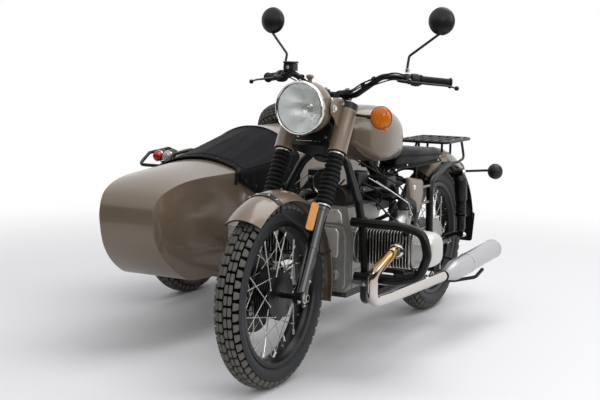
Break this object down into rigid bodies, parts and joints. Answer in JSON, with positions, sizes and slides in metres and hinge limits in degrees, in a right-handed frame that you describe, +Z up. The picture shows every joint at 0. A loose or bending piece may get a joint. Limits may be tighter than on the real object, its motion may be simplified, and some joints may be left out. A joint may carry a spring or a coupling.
{
  "type": "sidecar motorcycle",
  "caption": "Flat-twin motorcycle with a boat-shaped sidecar under a soft cover, wire wheels, block tyres and a spare wheel on the luggage lid.",
  "frame": {"origin": "on the ground, under the middle of the bounding box of the whole outfit", "axes": "+Z up, the motorcycle faces -Y, the rider's left is +X and the sidecar is on the -X side"},
  "size_m": [1.7215, 2.4271, 1.382],
  "materials": {
    "tyre_rubber": "block tread rubber",
    "rim_black": "black enamel",
    "fork_black": "satin black",
    "soft_rubber": "ribbed rubber",
    "body_paint": "satin metallic tan",
    "lamp_glass": "clear ribbed lens",
    "bar_black": "black powder coat",
    "grip_plastic": "moulded black",
    "amber_lens": "amber lens",
    "red_lens": "red lens",
    "cast_alloy": "cast, painted grey",
    "fin_alloy": "cast fins, dark",
    "cover_alloy": "satin casting",
    "chrome_pipe": "bright plated",
    "frame_black": "black enamel",
    "seat_vinyl": "black vinyl",
    "cover_cloth": "black coated cloth"
  },
  "bodies": {
    "outfit": {"main_frame": "frame_black", "engine_guard": "frame_black", "swingarm": "frame_black", "rear_shocks": "frame_black", "engine_block": "cast_alloy", "cylinders": "fin_alloy", "rocker_covers": "cover_alloy", "carburettors": "cast_alloy", "exhaust": "chrome_pipe", "fuel_tank": "body_paint", "seat": "seat_vinyl", "luggage_rack": "frame_black", "rear_fender": "body_paint", "side_panels": "body_paint", "rear_lamps": "red_lens", "footrests": "soft_rubber", "sidecar_tub": "body_paint", "tonneau_cover": "cover_cloth", "sidecar_frame": "frame_black", "sidecar_arm": "frame_black", "sidecar_fender": "body_paint", "sidecar_lamps": "red_lens", "fender_guard": "frame_black"},
    "steering": {"fork_legs": "fork_black", "fork_gaiters": "soft_rubber", "fork_yokes": "fork_black", "fork_shrouds": "body_paint", "headlamp_shell": "body_paint", "headlamp_glass": "lamp_glass", "handlebar": "bar_black", "hand_controls": "grip_plastic", "mirrors": "bar_black", "front_fender": "body_paint", "front_indicators": "amber_lens", "brake_caliper": "cast_alloy"},
    "front_wheel": {"front_tyre": "tyre_rubber", "front_rim": "rim_black"},
    "rear_wheel": {"rear_tyre": "tyre_rubber", "rear_rim": "rim_black"},
    "sidecar_wheel": {"sidecar_tyre": "tyre_rubber", "sidecar_rim": "rim_black"},
    "luggage_lid": {"trunk_lid": "body_paint", "spare_tyre": "tyre_rubber", "spare_rim": "rim_black"},
    "stand": {"centre_stand": "frame_black"}
  },
  "joints": [
    {"name": "steering_head", "type": "hinge", "parent": "outfit", "child": "steering", "pos_m": [0.385, -0.44468, 0.9], "axis": [0, 0.4848, 0.8746], "range_deg": [-30, 30]},
    {"name": "front_axle", "type": "hinge", "parent": "steering", "child": "front_wheel", "pos_m": [0.385, -0.874, 0.34], "axis": [1, 0, 0], "continuous": true},
    {"name": "rear_axle", "type": "hinge", "parent": "outfit", "child": "rear_wheel", "pos_m": [0.385, 0.616, 0.34], "axis": [1, 0, 0], "continuous": true},
    {"name": "sidecar_axle", "type": "hinge", "parent": "outfit", "child": "sidecar_wheel", "pos_m": [-0.78, 0.341, 0.34], "axis": [1, 0, 0], "continuous": true},
    {"name": "lid_hinge", "type": "hinge", "parent": "outfit", "child": "luggage_lid", "pos_m": [-0.335, 1.18965, 0.52723], "axis": [-1, 0, 0], "range_deg": [0, 75]},
    {"name": "stand_pivot", "type": "hinge", "parent": "outfit", "child": "stand", "pos_m": [0.385, 0.126, 0.214], "axis": [-1, 0, 0], "range_deg": [0, 95]}
  ]
}
